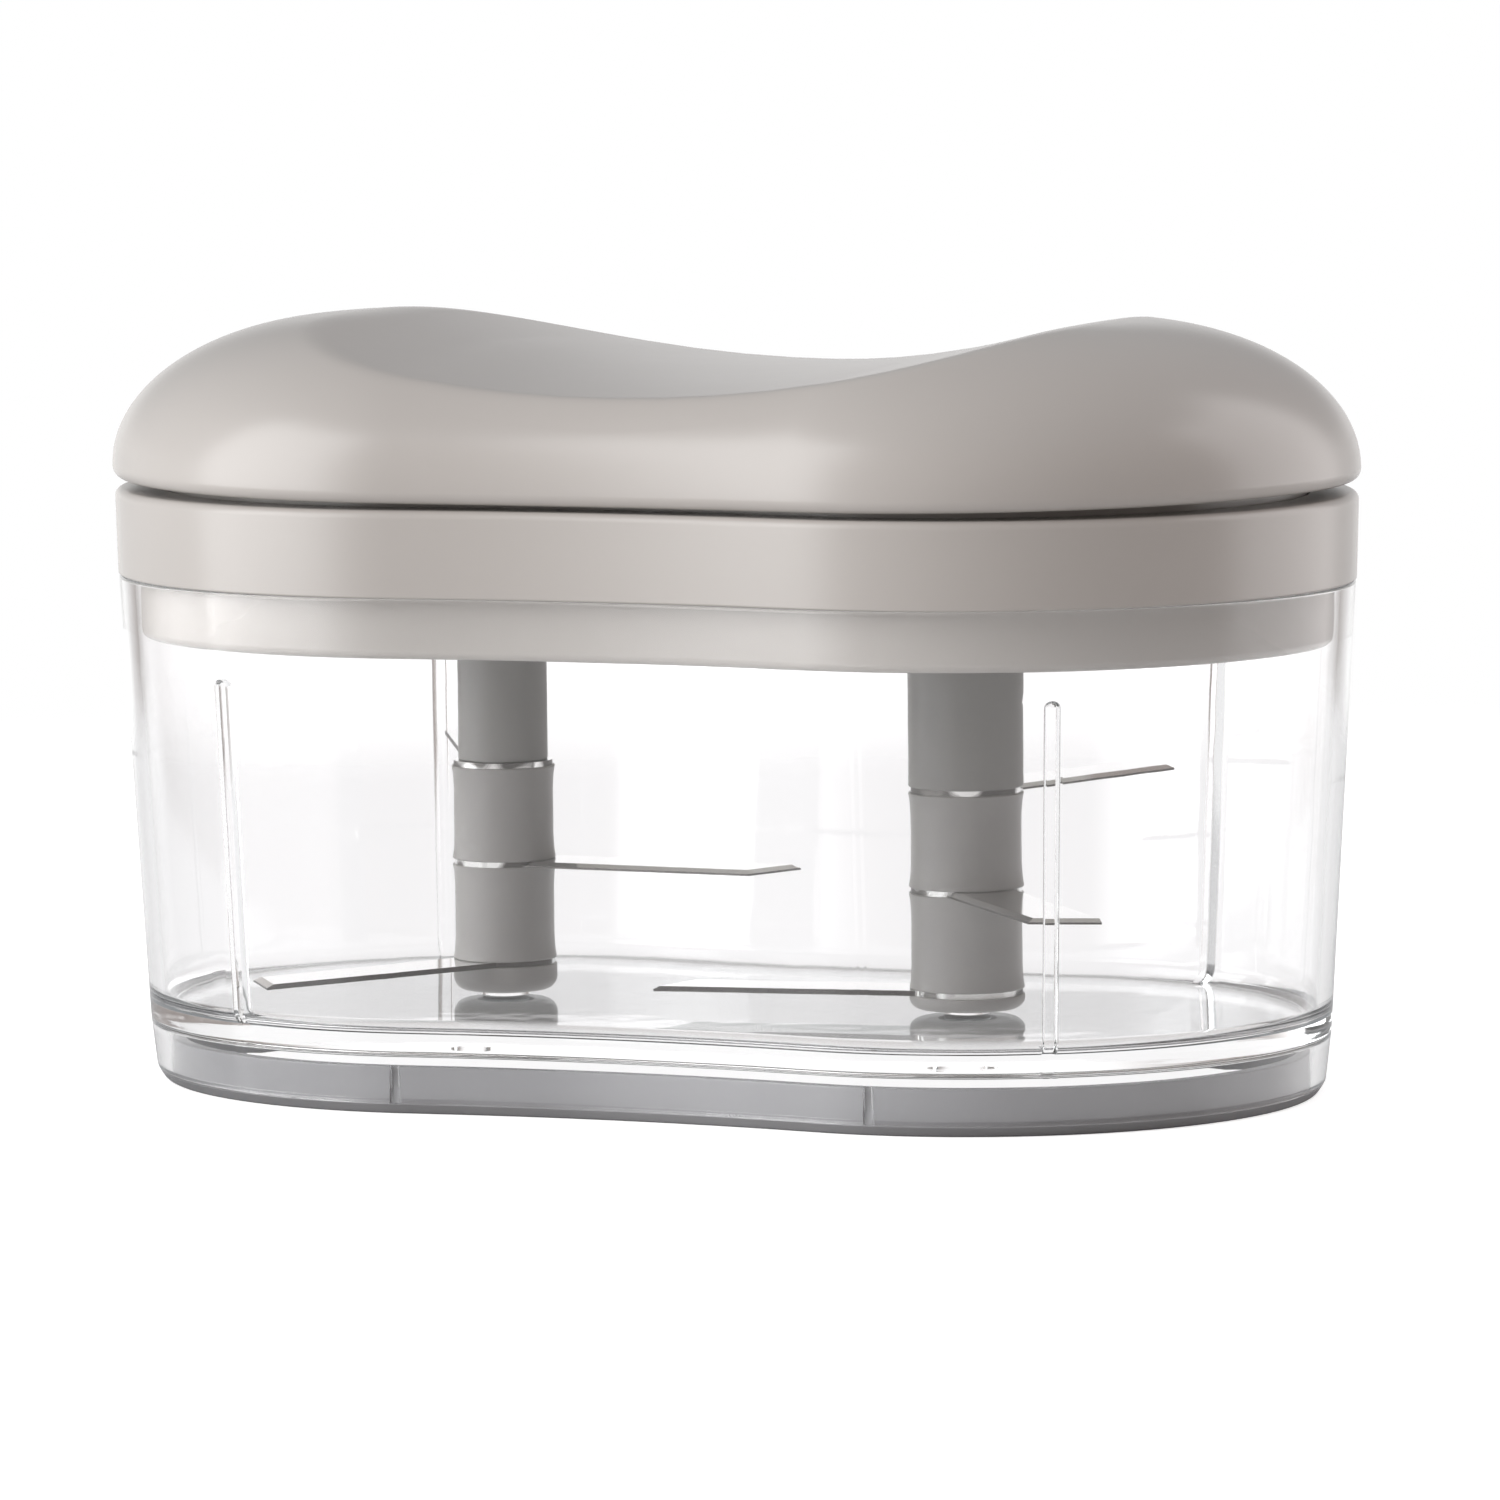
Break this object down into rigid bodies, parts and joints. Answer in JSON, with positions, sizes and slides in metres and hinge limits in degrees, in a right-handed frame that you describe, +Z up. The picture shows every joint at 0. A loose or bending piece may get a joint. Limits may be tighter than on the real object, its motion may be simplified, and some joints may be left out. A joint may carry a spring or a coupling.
{
  "type": "push-down garlic chopper",
  "caption": "Clear peanut-shaped bowl with two stacks of blades that turn as a domed, saddle-shaped cover is pushed down on its lid.",
  "frame": {"origin": "middle of the base, on the surface that the bowl stands on", "axes": "+X along the bowl's long axis, +Z up, -Y towards the viewer of the picture"},
  "size_m": [0.191, 0.1132, 0.1143],
  "materials": {
    "clear_plastic": "clear, polished",
    "foot_plastic": "soft, cloudy grey",
    "lid_plastic": "fine spark-eroded grain",
    "cover_plastic": "warm grey, satin gloss",
    "seal_rubber": "soft silicone",
    "plate_steel": "rolled sheet",
    "screw_steel": "zinc plated",
    "spring_steel": "drawn wire",
    "rod_steel": "ground bar",
    "bearing_plastic": "white, waxy",
    "rotor_plastic": "mid grey, satin",
    "blade_steel": "ground along the blade"
  },
  "bodies": {
    "jar": {"jar": "clear_plastic", "foot_ring": "foot_plastic"},
    "lid": {"lid_plug": "lid_plastic", "lid_ring": "cover_plastic", "lid_seal": "seal_rubber", "bush_left": "bearing_plastic", "bush_right": "bearing_plastic", "retainer_plate": "plate_steel", "retainer_screws": "screw_steel", "return_spring": "spring_steel"},
    "cover": {"cover_shell": "cover_plastic", "cover_frame": "lid_plastic", "frame_screws": "screw_steel", "spindle_left": "rod_steel", "spindle_right": "rod_steel", "cross_pin_left": "rod_steel", "cross_pin_right": "rod_steel"},
    "drive_left": {"drive_sleeve_left": "bearing_plastic"},
    "drive_right": {"drive_sleeve_right": "bearing_plastic"},
    "rotor_left": {"shaft_left": "rotor_plastic", "spacer_upper_left": "rotor_plastic", "spacer_lower_left": "rotor_plastic", "cap_left": "rotor_plastic", "blade_top_left": "blade_steel", "blade_mid_left": "blade_steel", "blade_low_left": "blade_steel"},
    "rotor_right": {"shaft_right": "rotor_plastic", "spacer_upper_right": "rotor_plastic", "spacer_lower_right": "rotor_plastic", "cap_right": "rotor_plastic", "blade_top_right": "blade_steel", "blade_mid_right": "blade_steel", "blade_low_right": "blade_steel"}
  },
  "joints": [
    {"name": "lid_lift", "type": "slide", "parent": "jar", "child": "lid", "axis": [0, 0, 1], "range_m": [0, 0.05]},
    {"name": "cover_press", "type": "slide", "parent": "lid", "child": "cover", "axis": [0, 0, 1], "range_m": [0, 0.014], "deforming": ["return_spring"]},
    {"name": "drive_left_turn", "type": "hinge", "parent": "lid", "child": "drive_left", "pos_m": [-0.037, 0, 0.06], "axis": [0, 0, 1], "range_deg": [0, 181]},
    {"name": "rotor_left_turn", "type": "hinge", "parent": "jar", "child": "rotor_left", "pos_m": [-0.037, 0, 0.06], "axis": [0, 0, 1], "range_deg": [0, 181]},
    {"name": "drive_right_turn", "type": "hinge", "parent": "lid", "child": "drive_right", "pos_m": [0.037, 0, 0.06], "axis": [0, 0, 1], "range_deg": [0, 181]},
    {"name": "rotor_right_turn", "type": "hinge", "parent": "jar", "child": "rotor_right", "pos_m": [0.037, 0, 0.06], "axis": [0, 0, 1], "range_deg": [0, 181]}
  ],
  "couplings": [
    {"joint": "drive_left_turn", "follows": "cover_press", "rad_per_m": 224.4},
    {"joint": "rotor_left_turn", "follows": "cover_press", "rad_per_m": 224.4},
    {"joint": "drive_right_turn", "follows": "cover_press", "rad_per_m": 224.4},
    {"joint": "rotor_right_turn", "follows": "cover_press", "rad_per_m": 224.4}
  ]
}
